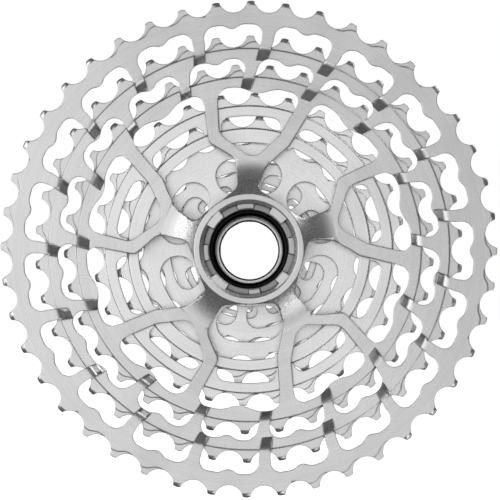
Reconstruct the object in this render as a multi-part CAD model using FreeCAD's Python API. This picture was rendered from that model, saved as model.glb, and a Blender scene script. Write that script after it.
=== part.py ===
import FreeCAD, Part
import math
import os

# An eleven-speed bicycle cassette with a 10 to 44 tooth range.
# Each part is drawn about the local Z axis: z = 0 is the hub rim's inboard face, +z points inboard,
# towards the wheel, and the sprockets get smaller towards -z.  The last step turns every part so that the
# spin axis lies along Y, with the inboard side facing -Y.  Lengths are in millimetres, angles in degrees.

Vec = FreeCAD.Vector
AXIS = Vec(0, 0, 1)

# Chain and sprocket stack
CHAIN_PITCH = 12.7
VALLEY_R = 5.2
ROOT_BELOW_PITCH = 4.05
TIP_ABOVE_PITCH = 0.1
TIP_CORNER_DROP = 0.3
SPROCKET_SPACING = 3.9
PLATE_T = 1.9
TOOTH_STEP = 0.35
STEP_RUN = 0.3
TIP_BEVEL_RADIAL = 0.95
TIP_BEVEL_FRONT = 0.6
TIP_BEVEL_BACK = 0.35
TIP_BEVEL_ROUND = 2.2
BIG_FACE_Z = 2.0
TEETH = [44, 38, 33, 28, 24, 21, 18, 16, 14, 12, 10]
TIP_ANGLE = {44: 7.65, 38: 4.28, 33: 6.9, 28: 10.7, 24: 10.35, 21: 0.5,
             18: 8.5, 16: 8.25, 14: 7.7, 12: 6.0, 10: 4.0}

# Shift groups: teeth thinned on the inboard face outside a wavy line, with a ramp on the outboard face
THIN_DEPTH = 0.55
THIN_CREST_ABOVE_ROOT = 1.9
THIN_VALLEY_BELOW_ROOT = 0.25
THIN_SHIFT = -0.13
THIN_TEETH = 3.3
RAMP_DEPTH = 0.6
RAMP_BELOW_ROOT = 1.6
RAMP_TEETH = 1.9
SHIFT_GROUPS = {44: [57, 114, 170, 236, 294, 351],
                38: [28, 99, 165, 245, 307],
                33: [17.5, 100, 159, 241, 301],
                28: [45, 165, 285],
                24: [20, 140, 260],
                21: [75, 195, 315],
                18: [40, 160, 280],
                16: [10, 130, 250]}

# Radius at which a riveted ring's face steps down to its teeth
STEP_R = {38: 72.1, 33: 62.1, 28: 51.9, 24: 43.9}

# Feet of the two biggest rings: outer radius, top edge of the ramp and its toe
FOOT_44 = (72.2, 71.3, 67.9)
FOOT_38 = (62.1, 60.9, 57.6)
# The ramp's two rounded corners, and how much of its run and drop lies before the toe's corner
RAMP_TOP_ROUND = 3.0
RAMP_TOE_ROUND = 2.2
RAMP_STEEP_SHARE = 0.8
RAMP_DROP_SHARE = 0.93

# Inner radius of the two steel rings riveted to the arms
RING_28_BORE_R = 44.1
RING_24_BORE_R = 38.9

# Windows of the 28 and 24 tooth rings: count, first centre, width, inner radius, outer radius, corner radius
RING_WINDOWS = {28: (10, 17.0, 27.4, 38.0, 48.4, 3.3),
                24: (5, 52.5, 31.0, 34.0, 40.2, 1.2)}

# Windows of the loose sprockets: count, first centre, width, inner radius, outer radius, corner radius
SMALL_WINDOWS = {21: (6, 30.3, 50.4, 20.9, 33.7, 6.2),
                 18: (8, 16.0, 36.0, 19.6, 28.9, 4.0),
                 16: (8, 34.5, 36.0, 19.6, 25.1, 2.6),
                 14: (8, 32.0, 32.0, 20.2, 22.8, 1.2)}

# Hub carrier
RIM_R = 20.0
RIM_BREAK = 0.25
RIM_BORE_R = 17.75
LEDGE_OUT_R = 17.3
LEDGE_OUT_Z = -0.45
LEDGE_IN_Z = -1.5
POCKET_R = 16.45
POCKET_DEPTH = 4.5
# Keys in the bore: angle, width, how far the key's face lies below the rim
KEYS = [(4.3, 22.0, 2.2), (49.3, 22.0, 0.45), (94.3, 22.0, 2.2), (139.3, 22.0, 0.45),
        (184.8, 21.0, 2.2), (228.5, 23.0, 0.45), (277.8, 15.0, 2.2), (319.0, 16.0, 0.45)]
KEY_TIP_R = 14.3
KEY_TIP_BREAK = 0.4
KEY_BOTTOM_Z = -5.6
# One key runs out along the ledge: radius and angle of the corners of that wedge
KEY_WEDGE = [(17.4, 300.5), (16.4, 312.0), (17.4, 312.0)]
PILOT_R = 14.3
PILOT_END_Z = -12.1
TUBE_BORE_R = 14.6
ARM_28_R = 52.0
ARM_24_R = 44.0
CONE_TOP_Z = -0.9
CONE_SLOPE = 41.0
CONE_ROUND = 19.3
BARREL_R = 17.0
BARREL_TAPER = 3.0
BARREL_SPLINE_R = 18.2
BARREL_SPLINE_COUNT = 6
BARREL_SPLINE_ANGLE = 16.0
BARREL_END_Z = -35.0
DOG_ANGLE = 19.0
DOG_LENGTH = 1.6

# Lock tube and what holds it
TUBE_R = 14.55
TUBE_THREAD_R = 12.3
TUBE_IN_Z = -12.3
TUBE_IN_BREAK = 1.0
TUBE_FLANGE_R = 16.0
TUBE_FLANGE_T = 1.3
TUBE_END_GAP = 0.15
TOOL_SPLINE_R = 10.7
TOOL_LIP_BREAK = 0.5
TOOL_SPLINE_COUNT = 12
TOOL_SPLINE_LENGTH = 5.0
TOOL_LIP_T = 1.0
TOOL_RING_R = 13.1
TOOL_SPLINE_DEPTH = 0.7
WASHER_R = 16.1
WASHER_T = 0.5
SLIDING_GAP = 0.1
SPACER_R = 19.4
BOSS_10_R = 18.6
SNAP_RING_Z = -20.0
SNAP_RING_T = 1.0
SNAP_RING_GAP_ANGLE = 24.0

# Half-lap joints between the 33-tooth ring's tabs and the arms' ends
LAP_R = 56.4
LAP_OUT_R = 59.5
LAP_WIDTH_ANGLE = 9.0
LAP_FIRST_ANGLE = 32.4

# Pins and rivets: how far the shank stands above the lower plate's face
PIN_R = 0.9
PIN_HEAD_R = 1.35
PIN_HEAD_T = 0.25
PIN_RISE = 1.0
RIVET_RISE = -0.6

# How far cutting tools reach past what they cut
MARGIN = 1.0


def pitch_radius(teeth):
    return CHAIN_PITCH / (2 * math.sin(math.pi / teeth))


def root_radius(teeth):
    return pitch_radius(teeth) - ROOT_BELOW_PITCH


def tip_radius(teeth):
    return pitch_radius(teeth) + TIP_ABOVE_PITCH


def face_z(teeth):
    """Height of a sprocket's inboard face."""
    return BIG_FACE_Z - SPROCKET_SPACING * TEETH.index(teeth)


def polar(radius, angle, z=0.0):
    a = math.radians(angle)
    return Vec(radius * math.cos(a), radius * math.sin(a), z)


def turned(shape, angle):
    copy = shape.copy()
    copy.rotate(Vec(0, 0, 0), AXIS, angle)
    return copy


def lifted(shape, z):
    copy = shape.copy()
    copy.translate(Vec(0, 0, z))
    return copy


def fuse_all(shapes):
    if len(shapes) == 1:
        return shapes[0]
    return shapes[0].multiFuse(shapes[1:])


def tube(outer_r, inner_r, z_top, z_bottom):
    """Plain ring between two heights."""
    height = z_top - z_bottom
    base = Vec(0, 0, z_bottom)
    ring = Part.makeCylinder(outer_r, height, base, AXIS)
    if inner_r > 0:
        ring = ring.cut(Part.makeCylinder(inner_r, height, base, AXIS))
    return ring


def rounded_wire(corners):
    """Closed outline through (point, corner radius) pairs, with an arc at each corner that has a radius."""
    count = len(corners)
    tangents = []
    for i in range(count):
        here, radius = corners[i]
        if radius == 0:
            tangents.append((here, None, here))
            continue
        back = (corners[i - 1][0] - here).normalize()
        ahead = (corners[(i + 1) % count][0] - here).normalize()
        half = math.acos(max(-1.0, min(1.0, back.dot(ahead)))) / 2
        reach = radius / math.tan(half)
        middle = (back + ahead).normalize()
        apex = here + middle * (radius / math.sin(half) - radius)
        tangents.append((here + back * reach, apex, here + ahead * reach))
    edges = []
    for i in range(count):
        start, apex, end = tangents[i]
        if apex is not None:
            edges.append(Part.Arc(start, apex, end).toShape())
        edges.append(Part.makeLine(end, tangents[(i + 1) % count][0]))
    return Part.Wire(edges)


def revolved(section):
    """Solid of revolution from (radius, z) points; a third number rounds that corner."""
    corners = [(Vec(point[0], 0, point[1]), point[2] if len(point) > 2 else 0) for point in section]
    face = Part.Face(rounded_wire(corners))
    return face.revolve(Vec(0, 0, 0), AXIS, 360)


def part_turn(section, centre, width):
    """Sweeps (radius, z) points about the axis, width degrees wide about the angle centre."""
    corners = [Vec(r, 0, z) for r, z in section]
    face = Part.Face(Part.makePolygon(corners + [corners[0]]))
    return turned(face.revolve(Vec(0, 0, 0), AXIS, width), centre - width / 2)


def sector(inner_r, outer_r, z_top, z_bottom, centre, width):
    """Part of a plain ring."""
    section = [(inner_r, z_bottom), (outer_r, z_bottom), (outer_r, z_top), (inner_r, z_top)]
    return part_turn(section, centre, width)


def rounded_sector(inner_r, outer_r, z_top, z_bottom, centre, width, corner_r):
    """Kidney-shaped block: a sector with its four upright edges rounded."""
    block = sector(inner_r, outer_r, z_top, z_bottom, centre, width)
    height = z_top - z_bottom
    upright = [e for e in block.Edges if abs(e.BoundBox.ZLength - height) < 1e-6 and e.Length < height + 1e-6]
    return block.makeFillet(corner_r, upright)


def rounded_prism(corners, z_top, z_bottom):
    """Upright prism whose outline goes through (radius, angle, corner radius) corners, rounded off."""
    face = Part.Face(rounded_wire([(polar(r, a), corner_r) for r, a, corner_r in corners]))
    return lifted(face.extrude(Vec(0, 0, z_top - z_bottom)), z_bottom)


def tooth_prism(teeth, z_top, z_bottom):
    """Upright prism with the sprocket's tooth outline: round valleys that run out to the tip circle."""
    step = 360.0 / teeth
    root = root_radius(teeth)
    tip = tip_radius(teeth)
    corner = tip - TIP_CORNER_DROP
    centre_r = root + VALLEY_R
    reach = math.acos((corner ** 2 + centre_r ** 2 - VALLEY_R ** 2) / (2 * corner * centre_r))
    edge_angle = math.degrees(reach)
    edges = []
    for k in range(teeth):
        valley = TIP_ANGLE[teeth] + (k + 0.5) * step
        first = polar(corner, valley - edge_angle)
        last = polar(corner, valley + edge_angle)
        crest = polar(tip, valley + step / 2)
        next_first = polar(corner, valley + step - edge_angle)
        edges.append(Part.Arc(first, polar(root, valley), last).toShape())
        edges.append(Part.Arc(last, crest, next_first).toShape())
    face = Part.Face(Part.Wire(edges))
    return lifted(face.extrude(Vec(0, 0, z_top - z_bottom)), z_bottom)


def tooth_top(teeth):
    """Height of the teeth's inboard side over the sprocket's face."""
    return -TOOTH_STEP if teeth in STEP_R else 0.0


def tooth_section(teeth):
    """Outer half of a sprocket's section, inboard side first: a step down to the teeth, and bevelled tips."""
    tip = tip_radius(teeth)
    bevel = tip - TIP_BEVEL_RADIAL
    top = tooth_top(teeth)
    section = []
    if teeth in STEP_R:
        section += [(STEP_R[teeth], 0.0), (STEP_R[teeth] + STEP_RUN, top)]
    section += [(bevel, top, TIP_BEVEL_ROUND),
                (tip + 0.01, top - TIP_BEVEL_FRONT),
                (tip + 0.01, -PLATE_T + TIP_BEVEL_BACK),
                (bevel, -PLATE_T)]
    return section


def wave_prism(teeth, z_top, z_bottom):
    """Upright prism with a wavy outline: it dips to the tooth valleys and rises part way up the teeth."""
    step = 360.0 / teeth
    low = root_radius(teeth) - THIN_VALLEY_BELOW_ROOT
    high = root_radius(teeth) + THIN_CREST_ABOVE_ROOT
    middle = (low + high) / 2
    edges = []
    for k in range(teeth):
        valley = TIP_ANGLE[teeth] + (k + 0.5 + THIN_SHIFT) * step
        first = polar(middle, valley - step / 4)
        last = polar(middle, valley + step / 4)
        crest = polar(high, valley + step / 2)
        next_first = polar(middle, valley + 3 * step / 4)
        edges.append(Part.Arc(first, polar(low, valley), last).toShape())
        edges.append(Part.Arc(last, crest, next_first).toShape())
    face = Part.Face(Part.Wire(edges))
    return lifted(face.extrude(Vec(0, 0, z_top - z_bottom)), z_bottom)


def cut_shift_groups(shape, teeth):
    """Thins the teeth of each shift group and cuts the ramp that lifts the chain."""
    if teeth not in SHIFT_GROUPS:
        return shape
    step = 360.0 / teeth
    root = root_radius(teeth)
    outer = tip_radius(teeth) + MARGIN
    top = tooth_top(teeth)
    kept = wave_prism(teeth, top + 2 * MARGIN, top - 2 * MARGIN)
    for angle in SHIFT_GROUPS[teeth]:
        centre = TIP_ANGLE[teeth] + round((angle - TIP_ANGLE[teeth]) / step) * step
        thinned = sector(root - MARGIN, outer, top + MARGIN, top - THIN_DEPTH, centre, THIN_TEETH * step)
        ramp = sector(root - RAMP_BELOW_ROOT, outer, -PLATE_T + RAMP_DEPTH, -PLATE_T - MARGIN,
                      centre + THIN_TEETH / 2 * step, RAMP_TEETH * step)
        shape = shape.cut(thinned.cut(kept)).cut(ramp)
    return shape


def big_windows(z_top, z_bottom):
    """The 19 two-lobed windows of the 44-tooth ring, open towards the axis."""
    corners = [(80.85, -7.75, 3.4), (80.85, -2.2, 4.4), (78.75, 0.2, 3.6), (80.85, 2.6, 4.4),
               (81.0, 7.95, 4.2), (75.3, 8.0, 5.0), (60.0, 11.2, 1.0),
               (60.0, -4.1, 1.0), (74.6, -7.6, 6.0)]
    window = rounded_prism(corners, z_top, z_bottom)
    return [turned(window, 18.3 + k * 360.0 / 19) for k in range(19)]


def middle_windows(z_top, z_bottom):
    """The 16 windows of the 38-tooth ring: one has three lobes and the others two."""
    lobe_pitch = 360.0 / 33
    side_a = [(50.0, -5.9, 1.0), (64.3, -10.6, 4.0), (69.1, -10.6, 3.8)]
    side_b = [(69.2, 6.2, 4.6), (63.3, 7.8, 5.0), (50.0, 12.0, 1.0)]
    windows = []
    angle = 14.5
    for k in range(16):
        lobes = 3 if k == 9 else 2
        corners = list(side_a)
        for lobe in range(lobes):
            shift = lobe * lobe_pitch
            if lobe > 0:
                corners.append((66.7, shift - 12.8, 4.0))
                corners.append((68.85, shift - 9.9, 5.0))
            if lobe < lobes - 1:
                corners.append((68.85, shift - 4.8, 5.0))
        extra = (lobes - 2) * lobe_pitch
        corners += [(r, a + extra, f) for r, a, f in side_b]
        windows.append(turned(rounded_prism(corners, z_top, z_bottom), angle))
        angle += lobes * lobe_pitch
    return windows


def arm_windows(z_top, z_bottom):
    """The ten openings of the arms: five inside the forks of the Ys and five between the arms."""
    lobes = [(58.9, -0.8, 3.2), (58.9, 8.0, 10.0), (56.1, 14.7, 8.0), (58.9, 21.6, 10.0),
             (58.95, 28.9, 4.2), (53.5, 30.2, 8.0)]
    fork = lobes + [(43.0, 32.4, 4.5), (32.4, 15.1, 5.1), (42.9, 2.7, 4.5), (53.5, -0.4, 6.0)]
    gap = [(r, a + 36, f) for r, a, f in lobes]
    gap += [(40.0, 69.0, 3.0), (36.6, 72.0, 3.0), (30.2, 78.8, 8.0), (21.9, 81.5, 2.6), (20.0, 62.0, 4.0),
            (20.0, 47.0, 4.0), (22.7, 28.0, 3.5), (33.4, 26.4, 5.0), (41.3, 38.4, 3.0), (53.5, 35.4, 6.0)]
    windows = []
    for k in range(5):
        windows.append(turned(rounded_prism(fork, z_top, z_bottom), 72 * k))
        windows.append(turned(rounded_prism(gap, z_top, z_bottom), 72 * k))
    return windows


def ramp_points(edge_r, toe_r):
    """Side profile of a foot's ramp from its top edge to its toe: rounded over, then swept out."""
    run = edge_r - toe_r
    return [(edge_r, 0.0, RAMP_TOP_ROUND),
            (edge_r - RAMP_STEEP_SHARE * run, -RAMP_DROP_SHARE * SPROCKET_SPACING, RAMP_TOE_ROUND),
            (toe_r, -SPROCKET_SPACING)]


def footed_ring(teeth, foot, windows, lower_windows):
    """A big ring whose spokes step down onto the next ring's face."""
    foot_out_r, edge_r, toe_r = foot
    section = [(foot_out_r, -PLATE_T), (foot_out_r, -SPROCKET_SPACING)]
    section += reversed(ramp_points(edge_r, toe_r))
    section += tooth_section(teeth)
    ring = revolved(section)
    ring = ring.common(tooth_prism(teeth, MARGIN, -SPROCKET_SPACING - MARGIN))
    ring = ring.cut(fuse_all(windows(MARGIN, -SPROCKET_SPACING - MARGIN)))
    ring = ring.cut(fuse_all(lower_windows(MARGIN, -SPROCKET_SPACING - MARGIN)))
    return lifted(cut_shift_groups(ring, teeth), face_z(teeth))


def sprocket_44t():
    ring = footed_ring(44, FOOT_44, big_windows, middle_windows)
    return ring.cut(pin_holes(PINS_44))


def sprocket_38t():
    ring = footed_ring(38, FOOT_38, middle_windows, arm_windows)
    return ring.cut(pin_holes(PINS_44)).cut(pin_holes(PINS_38))


def lap_blocks(z_top, z_bottom):
    """Footprint of the half-lap joints between the 33-tooth ring's tabs and the arms' ends."""
    return [sector(LAP_R - 1.0, LAP_OUT_R, z_top, z_bottom, LAP_FIRST_ANGLE + 36 * k, LAP_WIDTH_ANGLE)
            for k in range(10)]


def sprocket_33t():
    section = [(LAP_R, -PLATE_T), (LAP_R, 0.0)] + tooth_section(33)
    ring = revolved(section).common(tooth_prism(33, MARGIN, -PLATE_T - MARGIN))
    ring = ring.cut(fuse_all(arm_windows(MARGIN, -PLATE_T - MARGIN)))
    ring = ring.cut(fuse_all(lap_blocks(-PLATE_T / 2, -PLATE_T - MARGIN)))
    ring = cut_shift_groups(ring, 33)
    ring = lifted(ring, face_z(33))
    return ring.cut(pin_holes(PINS_38)).cut(pin_holes(PINS_33))


def driver_key(angle, width, recess):
    """One key of the driver bore, with its tip's edge broken."""
    outer = LEDGE_OUT_R + 0.1 if recess < -LEDGE_IN_Z else POCKET_R + 0.3
    section = [(KEY_TIP_R + KEY_TIP_BREAK, -recess), (outer, -recess), (outer, KEY_BOTTOM_Z),
               (KEY_TIP_R, KEY_BOTTOM_Z), (KEY_TIP_R, -recess - KEY_TIP_BREAK)]
    return part_turn(section, angle, width)


def hub_carrier():
    """Rim, driver bore, barrel and the five forked arms, in one piece."""
    top = face_z(33)
    below_28 = face_z(28)
    below_24 = face_z(24)
    inner = RIM_R - 0.6
    arms = revolved([(inner, top), (LAP_R, top), (LAP_R, top - PLATE_T), (ARM_28_R, top - PLATE_T),
                     (ARM_28_R, below_28), (ARM_24_R, below_28), (ARM_24_R, below_24), (inner, below_24)])
    tongues = lap_blocks(top - PLATE_T / 2, top - PLATE_T)
    cone_foot_r = RIM_R + (CONE_TOP_Z - top) / math.tan(math.radians(CONE_SLOPE))
    cone_end_r = cone_foot_r + 8.0
    cone = revolved([(inner, top - MARGIN), (cone_end_r, top - MARGIN), (cone_end_r, top),
                     (cone_foot_r, top, CONE_ROUND), (RIM_R, CONE_TOP_Z), (inner, CONE_TOP_Z)])
    plate = fuse_all([arms, cone] + tongues)
    plate = plate.cut(fuse_all(arm_windows(3, below_24 - 1)))
    core = revolved([(RIM_BORE_R, 0.0), (RIM_R - RIM_BREAK, 0.0), (RIM_R, -RIM_BREAK),
                     (RIM_R, below_24), (BARREL_R, below_24 - BARREL_TAPER), (BARREL_R, BARREL_END_Z),
                     (TUBE_BORE_R, BARREL_END_Z), (TUBE_BORE_R, PILOT_END_Z), (PILOT_R, PILOT_END_Z),
                     (PILOT_R, -POCKET_DEPTH), (POCKET_R, -POCKET_DEPTH), (POCKET_R, LEDGE_IN_Z),
                     (LEDGE_OUT_R, LEDGE_OUT_Z)])
    splines = [sector(BARREL_R - 0.5, BARREL_SPLINE_R, below_24 - 1.0, BARREL_END_Z,
                      60 * k, BARREL_SPLINE_ANGLE)
               for k in range(BARREL_SPLINE_COUNT)]
    wedge = rounded_prism([(r, a, 0) for r, a in KEY_WEDGE], LEDGE_OUT_Z, -POCKET_DEPTH - 0.1)
    hub = fuse_all([core, plate, wedge] + splines + [driver_key(*key) for key in KEYS])
    slots = [sector(TUBE_BORE_R - 1, BARREL_SPLINE_R + 1, BARREL_END_Z + DOG_LENGTH + 0.2, BARREL_END_Z - 1,
                    30 + 60 * k, DOG_ANGLE + 1)
             for k in range(BARREL_SPLINE_COUNT)]
    groove = tube(TUBE_BORE_R + 0.6, TUBE_BORE_R - 0.5, SNAP_RING_Z + 0.03, SNAP_RING_Z - SNAP_RING_T - 0.03)
    hub = hub.cut(fuse_all(slots)).cut(groove)
    return hub.cut(pin_holes(PINS_33)).cut(pin_holes(PINS_28)).cut(pin_holes(PINS_24)).removeSplitter()


def window_cutters(count, centre, width, inner_r, outer_r, corner_r):
    """Kidney-shaped cutters through one plate, evenly spaced."""
    return fuse_all([rounded_sector(inner_r, outer_r, MARGIN, -PLATE_T - MARGIN,
                                    centre + k * 360.0 / count, width, corner_r)
                     for k in range(count)])


def riveted_ring(teeth, bore_r, pins):
    """A steel ring pinned to the arms' outboard side."""
    section = [(bore_r, -PLATE_T), (bore_r, 0.0)] + tooth_section(teeth)
    ring = revolved(section).common(tooth_prism(teeth, MARGIN, -PLATE_T - MARGIN))
    ring = ring.cut(window_cutters(*RING_WINDOWS[teeth]))
    ring = cut_shift_groups(ring, teeth)
    return lifted(ring, face_z(teeth)).cut(pin_holes(pins))


def spline_bore():
    """Bore cutter that matches the barrel and its outside splines."""
    top = MARGIN
    bottom = BARREL_END_Z - 10 * MARGIN
    splines = [sector(BARREL_R - 0.5, BARREL_SPLINE_R, top, bottom, 60 * k, BARREL_SPLINE_ANGLE)
               for k in range(BARREL_SPLINE_COUNT)]
    return fuse_all([tube(BARREL_R, 0, top, bottom)] + splines)


def small_plate(teeth):
    """A loose sprocket that slides onto the barrel's splines."""
    section = [(0.0, -PLATE_T), (0.0, 0.0)] + tooth_section(teeth)
    plate = revolved(section).common(tooth_prism(teeth, MARGIN, -PLATE_T - MARGIN))
    if teeth in SMALL_WINDOWS:
        plate = plate.cut(window_cutters(*SMALL_WINDOWS[teeth]))
    plate = cut_shift_groups(plate, teeth)
    return lifted(plate, face_z(teeth)).cut(spline_bore())


def spacer(above, below):
    """Ring between two loose sprockets."""
    z_top = face_z(above) - PLATE_T
    return tube(SPACER_R, 0, z_top, face_z(below)).cut(spline_bore())


def sprocket_10t():
    """The smallest sprocket, with the boss and dogs that seat it in the barrel's end."""
    bore_r = TUBE_R + SLIDING_GAP
    section = [(bore_r, -PLATE_T), (bore_r, 0.0)] + tooth_section(10)
    plate = revolved(section).common(tooth_prism(10, MARGIN, -PLATE_T - MARGIN))
    plate = lifted(plate, face_z(10))
    boss = tube(BOSS_10_R, bore_r, BARREL_END_Z, face_z(10))
    dogs = [sector(TUBE_BORE_R + 0.15, BARREL_R - SLIDING_GAP, BARREL_END_Z + DOG_LENGTH, BARREL_END_Z,
                   30 + 60 * k, DOG_ANGLE)
            for k in range(BARREL_SPLINE_COUNT)]
    return fuse_all([plate, boss] + dogs)


def tube_flange_z():
    return face_z(10) - PLATE_T - WASHER_T - TUBE_END_GAP


def tube_end_z():
    return tube_flange_z() - TUBE_FLANGE_T


def lock_tube():
    end_z = tube_end_z()
    seat_z = end_z + TOOL_SPLINE_LENGTH + TOOL_LIP_T
    body = revolved([(TUBE_THREAD_R, TUBE_IN_Z - TUBE_IN_BREAK), (TUBE_THREAD_R + TUBE_IN_BREAK, TUBE_IN_Z),
                     (TUBE_R - 0.4, TUBE_IN_Z), (TUBE_R, TUBE_IN_Z - 0.4),
                     (TUBE_R, tube_flange_z()), (TUBE_FLANGE_R - 0.2, tube_flange_z()),
                     (TUBE_FLANGE_R, tube_flange_z() - 0.2), (TUBE_FLANGE_R, end_z + 0.4),
                     (TUBE_FLANGE_R - 0.4, end_z), (TOOL_RING_R, end_z),
                     (TOOL_RING_R, seat_z), (TUBE_THREAD_R, seat_z)])
    groove = tube(TUBE_R + 1, TUBE_R - 0.7, SNAP_RING_Z + 0.3, SNAP_RING_Z - SNAP_RING_T - 0.3)
    return body.cut(groove)


def tool_ring():
    """Steel ring pressed into the lock tube's outer end, with the splines the tool turns."""
    end_z = tube_end_z()
    spline_z = end_z + TOOL_SPLINE_LENGTH
    ring = tube(TOOL_RING_R, TOOL_SPLINE_R + TOOL_SPLINE_DEPTH, spline_z, end_z)
    lip_z = spline_z + TOOL_LIP_T
    lip = revolved([(TOOL_SPLINE_R + TOOL_LIP_BREAK, lip_z), (TOOL_RING_R, lip_z), (TOOL_RING_R, spline_z),
                    (TOOL_SPLINE_R, spline_z), (TOOL_SPLINE_R, lip_z - TOOL_LIP_BREAK)])
    step = 360.0 / TOOL_SPLINE_COUNT
    splines = [sector(TOOL_SPLINE_R, TOOL_SPLINE_R + TOOL_SPLINE_DEPTH + 0.2, spline_z, end_z,
                      step * k, step / 2)
               for k in range(TOOL_SPLINE_COUNT)]
    return fuse_all([ring, lip] + splines)


def wear_washer():
    z_top = face_z(10) - PLATE_T
    return tube(WASHER_R, TUBE_R + SLIDING_GAP, z_top, z_top - WASHER_T)


def snap_ring():
    """Open ring sprung into the barrel's groove; it reaches into the tube's groove."""
    ring = tube(TUBE_BORE_R + 0.55, TUBE_R - 0.45, SNAP_RING_Z, SNAP_RING_Z - SNAP_RING_T)
    gap = sector(TUBE_R - MARGIN, TUBE_BORE_R + MARGIN, SNAP_RING_Z + MARGIN,
                 SNAP_RING_Z - SNAP_RING_T - MARGIN, 90, SNAP_RING_GAP_ANGLE)
    return ring.cut(gap)


# Pin rows: radius, angles, top of the shank, face that the head sits on
PINS_44 = (70.7, [10.1 + k * 360.0 / 19 for k in range(19)], face_z(38) + PIN_RISE, face_z(38) - PLATE_T)
PINS_38 = (60.8, [3.4 + k * 720.0 / 33 for k in range(10)] + [-18.4 - k * 720.0 / 33 for k in range(6)],
           face_z(33) + PIN_RISE, face_z(33) - PLATE_T)
PINS_33 = (58.0, [32.4 + 36 * k for k in range(10)], face_z(33) + RIVET_RISE, face_z(33) - PLATE_T)
PINS_28 = (49.9, [33.9 + 72 * k for k in range(5)] + [69.8 + 72 * k for k in range(5)],
           face_z(28) + PIN_RISE, face_z(28) - PLATE_T)
PINS_24 = (41.9, [34.7 + 72 * k for k in range(5)] + [72 * k for k in range(5)],
           face_z(24) + PIN_RISE, face_z(24) - PLATE_T)


def pin_holes(row):
    radius, angles, z_top, z_bottom = row
    hole = Part.makeCylinder(PIN_R, z_top - z_bottom, Vec(radius, 0, z_bottom), AXIS)
    return fuse_all([turned(hole, a) for a in angles])


def pin_row(row):
    """Blind pins with low domed heads on the outboard side."""
    radius, angles, z_top, z_bottom = row
    pin = revolved([(0, z_top), (PIN_R, z_top), (PIN_R, z_bottom), (PIN_HEAD_R, z_bottom),
                    (PIN_HEAD_R, z_bottom - PIN_HEAD_T / 2), (PIN_HEAD_R / 2, z_bottom - PIN_HEAD_T),
                    (0, z_bottom - PIN_HEAD_T)])
    pin.translate(Vec(radius, 0, 0))
    return Part.makeCompound([turned(pin, a) for a in angles])


PARTS = {
    "sprocket_44t": sprocket_44t,
    "sprocket_38t": sprocket_38t,
    "sprocket_33t": sprocket_33t,
    "hub_carrier": hub_carrier,
    "sprocket_28t": lambda: riveted_ring(28, RING_28_BORE_R, PINS_28),
    "sprocket_24t": lambda: riveted_ring(24, RING_24_BORE_R, PINS_24),
    "sprocket_21t": lambda: small_plate(21),
    "sprocket_18t": lambda: small_plate(18),
    "sprocket_16t": lambda: small_plate(16),
    "sprocket_14t": lambda: small_plate(14),
    "sprocket_12t": lambda: small_plate(12),
    "sprocket_10t": sprocket_10t,
    "spacer_21_18": lambda: spacer(21, 18),
    "spacer_18_16": lambda: spacer(18, 16),
    "spacer_16_14": lambda: spacer(16, 14),
    "spacer_14_12": lambda: spacer(14, 12),
    "pins_44t_to_38t": lambda: pin_row(PINS_44),
    "pins_38t_to_33t": lambda: pin_row(PINS_38),
    "rivets_33t_to_arms": lambda: pin_row(PINS_33),
    "pins_28t_to_arms": lambda: pin_row(PINS_28),
    "pins_24t_to_arms": lambda: pin_row(PINS_24),
    "lock_tube": lock_tube,
    "lock_tube_tool_ring": tool_ring,
    "wear_washer": wear_washer,
    "snap_ring": snap_ring,
}

os.makedirs("parts", exist_ok=True)
for name, build in PARTS.items():
    shape = build()
    shape.rotate(Vec(0, 0, 0), Vec(1, 0, 0), 90)
    print(name, len(shape.Solids), "solids, valid:", shape.isValid(), "volume", round(shape.Volume, 1))
    shape.exportStep("parts/" + name + ".step")
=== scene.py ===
import bpy
import math
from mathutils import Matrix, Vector


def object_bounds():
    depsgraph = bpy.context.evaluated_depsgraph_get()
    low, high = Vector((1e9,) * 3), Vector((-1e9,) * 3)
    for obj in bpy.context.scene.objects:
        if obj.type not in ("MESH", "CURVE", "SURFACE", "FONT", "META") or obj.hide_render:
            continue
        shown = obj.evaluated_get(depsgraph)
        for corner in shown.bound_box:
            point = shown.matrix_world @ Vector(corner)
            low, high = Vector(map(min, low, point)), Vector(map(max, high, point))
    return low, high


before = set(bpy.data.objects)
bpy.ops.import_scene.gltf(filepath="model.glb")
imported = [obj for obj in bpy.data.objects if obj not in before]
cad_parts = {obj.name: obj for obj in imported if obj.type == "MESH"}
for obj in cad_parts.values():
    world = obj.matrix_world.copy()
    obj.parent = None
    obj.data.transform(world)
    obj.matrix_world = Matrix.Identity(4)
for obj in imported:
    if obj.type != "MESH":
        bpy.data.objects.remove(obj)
cad_low, cad_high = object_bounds()

# Sizes in metres.  The cassette's spin axis is Y, and its big inboard side faces -Y, towards the camera.
MM = 0.001

# Width of the chamfers on sharp edges, and the bend in degrees above which an edge is sharp
EDGE_BREAK = 0.26 * MM
EDGE_ANGLE = 33.0
# Before the chamfers, points this close are joined and bends under this many degrees are made flat
WELD_DISTANCE = 0.0005 * MM
FLAT_ANGLE = 0.3

# How far the shading rounds an edge over, how much of the lighter edge tone (part wear, part painted
# highlight) shows there, and how far the rounded normal has turned, as a cosine, where it shows in full
EDGE_ROUND = 0.5 * MM
EDGE_WEAR_AND_HIGHLIGHT = 0.5
EDGE_TURNED = 0.8
# Where the arms' ends meet the 33-tooth ring flush, and how near to that no edge is rounded
LAP_RADIUS = 56.4 * MM
SEAM_NEAR = 0.5 * MM
SEAM_FAR = 0.9 * MM

# The driver bore's steps: their radius, the depths along the spin axis between which painted shade
# darkens them, how dark that shade ends, and how much rougher the slope below the rim is
WELL_RADIUS = 17.35 * MM
WELL_TOP = 0.5 * MM
WELL_FLOOR = 4.0 * MM
WELL_FLOOR_SHADE = 0.45
LEDGE_ROUGHER = 0.35
# The tool ring's bore: its radius and the painted shade inside it, a near-black tone
TOOL_BORE_RADIUS = 11.2 * MM
TOOL_BORE_SHADE = 0.06
# Width over which one of these zones blends into the next
ZONE_BLEND = 0.1 * MM

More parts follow.
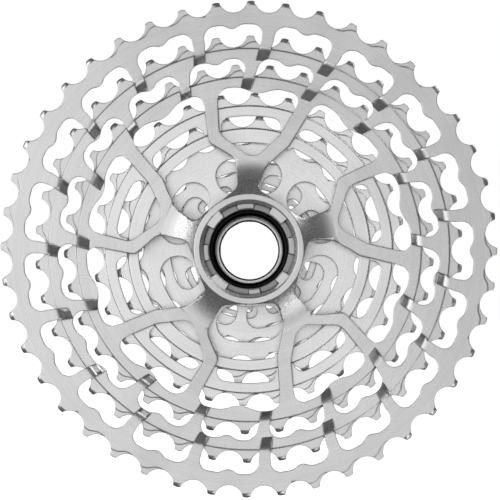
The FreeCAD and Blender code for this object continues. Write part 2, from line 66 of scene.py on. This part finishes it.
# Patches of tone, blasted specks and drift of the turning marks along the axis, in cells per metre
PATCH_SCALE = 45.0
SPECK_SCALE = 2100.0
MARKS_DRIFT = 400.0
# Coarse turning marks, per millimetre of radius
WIDE_MARKS = 1.3
# The stretch of each noise that is spread over its tones, and the tones that multiply the colour
TONE_CONTRAST = (0.35, 0.65)
GRAIN_CONTRAST = (0.3, 0.7)
GRAIN_TONES = (0.90, 1.10)
WIDE_TONES = (0.965, 1.035)
SPECK_CONTRAST = (0.38, 0.62)
SPECK_TONES = (0.74, 1.26)
GLOSS_CONTRAST = (0.7, 1.3)

# Painted shade in crevices: how close another surface must be to darken one, and the openness at which
# that starts and ends
CREVICE_REACH = 0.8 * MM
CREVICE_SHUT = 0.42
CREVICE_OPEN = 0.8

# Tilt is 1 on faces square to the spin axis and 0 on walls that run along it
WALL_TILT = 0.12
WALL_END_TILT = 0.4
WALL_ROUGHER = 0.12
SLOPE_TILT = 0.9
SPECK_START_TILT = 0.985
GRAIN_START_TILT = 0.99
LEDGE_START_TILT = 0.95
LEDGE_TILT = 0.85

# Height of a full bump, and the share of a turn that turns the highlight to run across the marks
BUMP_HEIGHT = MM
HIGHLIGHT_TURN = 0.25

CAMERA_SPOT = (0.0070, -1.077, -0.0172)
CAMERA_AIM = (0.00044, -0.002, -0.00043)
# Width of the view at the distance of the big sprocket's face
VIEW_WIDTH = 0.1792
CAMERA_RANGE = 1.075
SENSOR = 36.0
CLIP_NEAR = 0.05
CLIP_FAR = 50.0

FLOOR_RADIUS = 8.0
FLOOR_CORNERS = 64
FLOOR_GAP = 0.2 * MM
FLOOR_GLOW = 0.95

# Even light from all round, and soft panels: name, clock angle, angle off the camera's side of the
# spin axis, distance, width, height, radiance
FILL = 0.10
PANELS = [("front", 200, 8, 1.8, 1.2, 1.2, 0.92),
          ("left", 172, 48, 1.6, 1.2, 1.3, 1.5),
          ("lower_right", 312, 47, 1.6, 0.9, 0.9, 1.4),
          ("right", 47, 84, 1.6, 0.45, 0.9, 3.4),
          ("back_right", 5, 130, 1.6, 0.7, 1.8, 1.3),
          ("back_low", 225, 155, 1.7, 0.8, 0.8, 0.9),
          ("back", 60, 172, 1.8, 1.4, 1.4, 0.8)]


# ---------------------------------------------------------------------------------------------
# Node helpers
# ---------------------------------------------------------------------------------------------

class Tree:
    """Short calls for building a shader node tree."""

    def __init__(self, owner):
        owner.use_nodes = True
        self.tree = owner.node_tree
        self.tree.nodes.clear()

    def add(self, kind, **settings):
        node = self.tree.nodes.new(kind)
        for key, value in settings.items():
            setattr(node, key, value)
        return node

    def link(self, source, target):
        self.tree.links.new(source, target)

    def put(self, value, socket):
        """Links an output socket, or sets a plain number or colour."""
        if isinstance(value, bpy.types.NodeSocket):
            self.link(value, socket)
        else:
            socket.default_value = value

    def math(self, operation, a, b=0.0):
        node = self.add("ShaderNodeMath", operation=operation)
        self.put(a, node.inputs[0])
        self.put(b, node.inputs[1])
        return node.outputs[0]

    def remap(self, value, low, high, to_low, to_high):
        node = self.add("ShaderNodeMapRange")
        self.put(value, node.inputs["Value"])
        node.inputs["From Min"].default_value = low
        node.inputs["From Max"].default_value = high
        node.inputs["To Min"].default_value = to_low
        node.inputs["To Max"].default_value = to_high
        return node.outputs["Result"]

    def mix_colour(self, factor, a, b, blend="MIX"):
        node = self.add("ShaderNodeMix", data_type="RGBA", blend_type=blend)
        self.put(factor, node.inputs[0])
        self.put(a, node.inputs[6])
        self.put(b, node.inputs[7])
        return node.outputs[2]

    def noise(self, vector, scale, detail=3.0, roughness=0.5):
        node = self.add("ShaderNodeTexNoise")
        self.put(vector, node.inputs["Vector"])
        node.inputs["Scale"].default_value = scale
        node.inputs["Detail"].default_value = detail
        node.inputs["Roughness"].default_value = roughness
        return node.outputs["Fac"]

    def scale_colour(self, colour, by):
        """The colour times a plain number."""
        return self.mix_colour(1.0, colour, by, blend="MULTIPLY")

    def ring_coordinates(self):
        """Object coordinates, the distance from the spin axis, and the place along it."""
        place = self.add("ShaderNodeTexCoord").outputs["Object"]
        parts = self.add("ShaderNodeSeparateXYZ")
        self.link(place, parts.inputs[0])
        flat = self.add("ShaderNodeCombineXYZ")
        self.link(parts.outputs["X"], flat.inputs["X"])
        self.link(parts.outputs["Z"], flat.inputs["Z"])
        length = self.add("ShaderNodeVectorMath", operation="LENGTH")
        self.link(flat.outputs[0], length.inputs[0])
        return place, length.outputs["Value"], parts.outputs["Y"]

    def turning_marks(self, radius, depth_along, lines_per_mm):
        """Fine concentric lathe lines: noise along the radius only, with a little drift along the axis."""
        row = self.add("ShaderNodeCombineXYZ")
        self.put(self.math("MULTIPLY", radius, 1000.0 * lines_per_mm), row.inputs["X"])
        self.put(self.math("MULTIPLY", depth_along, MARKS_DRIFT), row.inputs["Y"])
        return self.noise(row.outputs[0], 1.0, detail=2.0, roughness=0.7)

    def rounded_edges(self, width, distance, seam):
        """Normals that round the edges over, and a mask that is 1 on the edges and 0 a short way in.

        Nothing is rounded at the seam's distance from the axis, where two parts meet flush.
        """
        bevel = self.add("ShaderNodeBevel", samples=6)
        bevel.inputs["Radius"].default_value = width
        surface = self.add("ShaderNodeNewGeometry")
        normal = bevel.outputs[0]
        if seam:
            off_seam = self.math("ABSOLUTE", self.math("SUBTRACT", distance, seam))
            near = self.remap(off_seam, SEAM_NEAR, SEAM_FAR, 1.0, 0.0)
            blend = self.add("ShaderNodeMix", data_type="VECTOR")
            self.put(near, blend.inputs[0])
            self.put(normal, blend.inputs[4])
            self.put(surface.outputs["Normal"], blend.inputs[5])
            normal = blend.outputs[1]
        facing = self.add("ShaderNodeVectorMath", operation="DOT_PRODUCT")
        self.link(normal, facing.inputs[0])
        self.link(surface.outputs["Normal"], facing.inputs[1])
        return normal, self.remap(facing.outputs["Value"], 1.0, EDGE_TURNED, 0.0, 1.0)

    def tilt(self):
        """1 on faces square to the spin axis, falling to 0 on cut walls that run along it."""
        surface = self.add("ShaderNodeNewGeometry")
        parts = self.add("ShaderNodeSeparateXYZ")
        self.link(surface.outputs["True Normal"], parts.inputs[0])
        return self.math("ABSOLUTE", parts.outputs["Y"])

    def open_mask(self, distance):
        """1 in the open, falling towards 0 where another surface is close."""
        node = self.add("ShaderNodeAmbientOcclusion", samples=8)
        node.inputs["Distance"].default_value = distance
        return node.outputs["AO"]


class Metal:
    """How one metal looks.

    light and dark are its tones and the edge tone, part wear and part painted highlight, lightens its
    edges; roughness varies by spread.
    marks and grain say how fine the turning marks and the grain are, and their depths are in millimetres.
    wall and the crevice tone are painted shade, the tones that cut walls and crevices are multiplied by.
    slope_grain deepens the grain on sloping faces.  seam, well and bore are the radii of a flush seam,
    of a stepped driver bore darkened with painted shade and of a bore painted dark as shade, where there
    is one.
    """

    def __init__(self, light, dark, edge, roughness, marks=6.0, marks_depth=0.003, grain=2500.0,
                 grain_depth=0.002, anisotropic=0.45, wall=0.5, crevice_shade=0.12, spread=0.07,
                 slope_grain=0.0, bore=0.0, seam=0.0, well=0.0):
        self.light = light
        self.dark = dark
        self.roughness = roughness
        self.marks = marks
        self.marks_depth = marks_depth
        self.grain = grain
        self.grain_depth = grain_depth
        self.anisotropic = anisotropic
        self.edge = edge
        self.wall = wall
        self.crevice_shade = crevice_shade
        self.spread = spread
        self.slope_grain = slope_grain
        self.bore = bore
        self.seam = seam
        self.well = well


def grey(value):
    return (value, value, value, 1.0)


def turned_tone(t, look, radius, along, lines, fine, patches):
    """The bare metal's colour: fine and coarse turning marks, grain and soft patches."""
    tone = t.math("ADD", t.math("MULTIPLY", lines, 0.5), t.math("MULTIPLY", patches, 0.5))
    base = t.mix_colour(t.remap(tone, *TONE_CONTRAST, 0.0, 1.0), look.dark, look.light)
    base = t.scale_colour(base, t.remap(fine, *GRAIN_CONTRAST, *GRAIN_TONES))
    wide = t.turning_marks(radius, along, WIDE_MARKS)
    return t.scale_colour(base, t.remap(wide, *TONE_CONTRAST, *WIDE_TONES))


def shaded_tone(t, look, base, wall):
    """Painted shade: darker cut walls and crevices."""
    base = t.scale_colour(base, t.remap(wall, 0.0, 1.0, 1.0, look.wall))
    # Painted shade where another surface is close
    open_shade = t.remap(t.open_mask(CREVICE_REACH), CREVICE_SHUT, CREVICE_OPEN, look.crevice_shade, 1.0)
    return t.scale_colour(base, open_shade)


def well_shade(t, base, inside, along):
    """Painted shade in the driver bore's steps, darker the deeper they lie."""
    deep_shade = t.remap(along, WELL_TOP, WELL_FLOOR, 1.0, WELL_FLOOR_SHADE)
    return t.mix_colour(inside, base, t.scale_colour(base, deep_shade))


def specked_tone(t, base, place, tilt):
    """Blasted specks on the sloping faces."""
    speck = t.remap(t.noise(place, SPECK_SCALE, detail=1.0), *SPECK_CONTRAST, *SPECK_TONES)
    sloped = t.remap(tilt, SPECK_START_TILT, SLOPE_TILT, 0.0, 1.0)
    return t.mix_colour(sloped, base, t.scale_colour(base, speck))


def relief(t, look, tilt, lines, fine, rounded):
    """Bumps of the turning marks and grain, over the rounded edges."""
    sloping = t.remap(tilt, GRAIN_START_TILT, SLOPE_TILT, 0.0, look.slope_grain)
    grain_depth = t.math("ADD", sloping, look.grain_depth)
    marks = t.math("MULTIPLY", lines, look.marks_depth)
    height = t.math("ADD", marks, t.math("MULTIPLY", fine, grain_depth))
    bump = t.add("ShaderNodeBump")
    bump.inputs["Strength"].default_value = 1.0
    bump.inputs["Distance"].default_value = BUMP_HEIGHT
    t.link(height, bump.inputs["Height"])
    t.link(rounded, bump.inputs["Normal"])
    return bump.outputs[0]


def metal(name, look):
    """A turned metal: concentric marks, grain, patches of tone, painted shade on walls and in crevices,
    edges lightened as wear and painted highlight.
    """
    material = bpy.data.materials.new(name)
    t = Tree(material)
    place, radius, along = t.ring_coordinates()
    lines = t.turning_marks(radius, along, look.marks)
    fine = t.noise(place, look.grain, detail=2.0, roughness=0.6)
    patches = t.noise(place, PATCH_SCALE, detail=4.0, roughness=0.6)
    tilt = t.tilt()
    # 1 on cut walls: it darkens their colour as painted shade and makes them rougher
    wall = t.remap(tilt, WALL_TILT, WALL_END_TILT, 1.0, 0.0)
    rounded, worn_and_highlit = t.rounded_edges(EDGE_ROUND, radius, look.seam)

    base = turned_tone(t, look, radius, along, lines, fine, patches)
    # Edges lightened: part wear, part painted highlight
    base = t.mix_colour(t.math("MULTIPLY", worn_and_highlit, EDGE_WEAR_AND_HIGHLIGHT), base, look.edge)
    # Painted shade on cut walls and in crevices
    base = shaded_tone(t, look, base, wall)
    rough = t.remap(t.math("ADD", patches, fine), *GLOSS_CONTRAST,
                    look.roughness - look.spread, look.roughness + look.spread)
    rough = t.math("ADD", rough, t.math("MULTIPLY", wall, WALL_ROUGHER))
    # Painted shade: the driver bore's steps darken with depth; the slope below the rim is made rougher
    if look.well:
        inside = t.remap(radius, look.well, look.well + ZONE_BLEND, 1.0, 0.0)
        base = well_shade(t, base, inside, along)
        ledge = t.math("MULTIPLY", inside, t.remap(tilt, LEDGE_START_TILT, LEDGE_TILT, 0.0, 1.0))
        rough = t.math("ADD", rough, t.math("MULTIPLY", ledge, LEDGE_ROUGHER))
    # Painted shade: the tool ring's bore darkened to near black
    if look.bore:
        outside = t.remap(radius, look.bore, look.bore + ZONE_BLEND, TOOL_BORE_SHADE, 1.0)
        base = t.scale_colour(base, outside)
    if look.slope_grain:
        base = specked_tone(t, base, place, tilt)

    shader = t.add("ShaderNodeBsdfPrincipled")
    shader.inputs["Metallic"].default_value = 1.0
    shader.inputs["Anisotropic"].default_value = look.anisotropic
    shader.inputs["Anisotropic Rotation"].default_value = HIGHLIGHT_TURN
    t.put(base, shader.inputs["Base Color"])
    t.put(rough, shader.inputs["Roughness"])
    t.link(relief(t, look, tilt, lines, fine, rounded), shader.inputs["Normal"])
    tangent = t.add("ShaderNodeTangent", direction_type="RADIAL", axis="Y")
    t.link(tangent.outputs[0], shader.inputs["Tangent"])
    out = t.add("ShaderNodeOutputMaterial")
    t.link(shader.outputs[0], out.inputs[0])
    return material


LOOKS = {
    "turned_alloy": Metal(grey(0.86), grey(0.76), grey(0.95), 0.33),
    "ring_33_alloy": Metal(grey(0.86), grey(0.76), grey(0.95), 0.33, seam=LAP_RADIUS),
    "hub_alloy": Metal(grey(0.86), grey(0.76), grey(0.95), 0.34, slope_grain=0.04, seam=LAP_RADIUS,
                       well=WELL_RADIUS),
    "cluster_steel": Metal(grey(0.90), grey(0.80), grey(0.96), 0.28, marks=8.0, marks_depth=0.002,
                           grain=3000.0),
    "spacer_alloy": Metal(grey(0.72), grey(0.60), grey(0.85), 0.38),
    "pin_steel": Metal(grey(0.60), grey(0.50), grey(0.75), 0.28, marks=9.0, marks_depth=0.001,
                       grain=3000.0, grain_depth=0.001),
    "black_anodised": Metal(grey(0.03), grey(0.018), grey(0.09), 0.42, marks=2.5, marks_depth=0.004,
                            anisotropic=0.0, wall=1.0),
    "tool_ring_steel": Metal(grey(0.80), grey(0.70), grey(0.9), 0.20, marks_depth=0.002,
                             anisotropic=0.0, wall=1.0, bore=TOOL_BORE_RADIUS),
    "bronze": Metal((0.55, 0.36, 0.17, 1.0), (0.45, 0.28, 0.12, 1.0), (0.7, 0.5, 0.28, 1.0), 0.36),
}

FINISH = {
    "sprocket_44t": "turned_alloy",
    "sprocket_38t": "turned_alloy",
    "sprocket_33t": "ring_33_alloy",
    "hub_carrier": "hub_alloy",
    "lock_tube": "black_anodised",
    "lock_tube_tool_ring": "tool_ring_steel",
    "wear_washer": "bronze",
    "snap_ring": "pin_steel",
}


def finish_of(node):
    """The name of the metal that a node is made of."""
    if node in FINISH:
        return FINISH[node]
    if node.startswith("spacer"):
        return "spacer_alloy"
    if node.startswith("pins") or node.startswith("rivets"):
        return "pin_steel"
    return "cluster_steel"


def break_edges(obj, width):
    """Small chamfers on the sharp edges, as a deburred part has."""
    weld = obj.modifiers.new("weld", "WELD")
    weld.merge_threshold = WELD_DISTANCE
    flat = obj.modifiers.new("flat", "DECIMATE")
    flat.decimate_type = "DISSOLVE"
    flat.angle_limit = math.radians(FLAT_ANGLE)
    bevel = obj.modifiers.new("edge_break", "BEVEL")
    bevel.width = width
    bevel.segments = 1
    bevel.limit_method = "ANGLE"
    bevel.angle_limit = math.radians(EDGE_ANGLE)
    bevel.use_clamp_overlap = True
    bevel.harden_normals = True


MATERIALS = {name: metal(name, look) for name, look in LOOKS.items()}

for node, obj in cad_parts.items():
    obj.data.materials.clear()
    obj.data.materials.append(MATERIALS[finish_of(node)])
    if not node.startswith(("pins", "rivets", "snap")):
        break_edges(obj, EDGE_BREAK)


# ---------------------------------------------------------------------------------------------
# Floor, light and camera
# ---------------------------------------------------------------------------------------------

def make_floor():
    """A pale disc that glows evenly to the camera and throws no light on the object."""
    mesh = bpy.data.meshes.new("floor")
    turns = [2 * math.pi * k / FLOOR_CORNERS for k in range(FLOOR_CORNERS)]
    points = [(FLOOR_RADIUS * math.cos(turn), FLOOR_RADIUS * math.sin(turn), 0.0) for turn in turns]
    mesh.from_pydata(points, [], [list(range(FLOOR_CORNERS))])
    floor = bpy.data.objects.new("floor", mesh)
    floor.location = (0, 0, cad_low.z - FLOOR_GAP)
    floor.visible_diffuse = False
    floor.visible_glossy = False
    bpy.context.scene.collection.objects.link(floor)
    material = bpy.data.materials.new("pale_floor")
    t = Tree(material)
    shader = t.add("ShaderNodeBsdfPrincipled")
    place = t.add("ShaderNodeTexCoord").outputs["Object"]
    t.put(t.remap(t.noise(place, 3.0), 0.3, 0.7, 0.5, 0.6), shader.inputs["Roughness"])
    shader.inputs["Base Color"].default_value = (0.9, 0.9, 0.9, 1.0)
    shader.inputs["Emission Color"].default_value = (1.0, 1.0, 1.0, 1.0)
    shader.inputs["Emission Strength"].default_value = FLOOR_GLOW
    out = t.add("ShaderNodeOutputMaterial")
    t.link(shader.outputs[0], out.inputs[0])
    mesh.materials.append(material)


def make_world():
    """White behind the object for the camera, and a dim even fill for everything else."""
    world = bpy.data.worlds.new("studio")
    bpy.context.scene.world = world
    t = Tree(world)
    seen = t.add("ShaderNodeBackground")
    seen.inputs["Color"].default_value = (1, 1, 1, 1)
    seen.inputs["Strength"].default_value = 1.0
    fill = t.add("ShaderNodeBackground")
    fill.inputs["Color"].default_value = (1, 1, 1, 1)
    fill.inputs["Strength"].default_value = FILL
    path = t.add("ShaderNodeLightPath")
    pick = t.add("ShaderNodeMixShader")
    t.link(path.outputs["Is Camera Ray"], pick.inputs[0])
    t.link(fill.outputs[0], pick.inputs[1])
    t.link(seen.outputs[0], pick.inputs[2])
    out = t.add("ShaderNodeOutputWorld")
    t.link(pick.outputs[0], out.inputs[0])


def softbox(name, around, off_axis, distance, width, height, radiance):
    """A soft panel aimed at the object.

    around is its clock angle as the camera sees it, and off_axis its angle from the camera's side.
    """
    phi = math.radians(around)
    theta = math.radians(off_axis)
    towards = Vector((math.sin(theta) * math.cos(phi), -math.cos(theta), math.sin(theta) * math.sin(phi)))
    spot = towards * distance
    data = bpy.data.lights.new(name, "AREA")
    data.shape = "RECTANGLE"
    data.size = width
    data.size_y = height
    data.energy = radiance * math.pi * width * height
    lamp = bpy.data.objects.new(name, data)
    lamp.location = spot
    lamp.rotation_euler = (-spot).to_track_quat("-Z", "Y").to_euler()
    lamp.visible_camera = False
    bpy.context.scene.collection.objects.link(lamp)


def make_camera():
    """The viewing camera, a long way off so that the view is nearly flat."""
    data = bpy.data.cameras.new("camera")
    data.sensor_width = SENSOR
    data.lens = SENSOR * CAMERA_RANGE / VIEW_WIDTH
    data.clip_start = CLIP_NEAR
    data.clip_end = CLIP_FAR
    camera = bpy.data.objects.new("camera", data)
    camera.location = CAMERA_SPOT
    direction = Vector(CAMERA_AIM) - Vector(CAMERA_SPOT)
    camera.rotation_euler = direction.to_track_quat("-Z", "Y").to_euler()
    bpy.context.scene.collection.objects.link(camera)
    bpy.context.scene.camera = camera


make_floor()
make_world()
for panel in PANELS:
    softbox(*panel)
make_camera()
bpy.context.scene.view_settings.view_transform = "Standard"
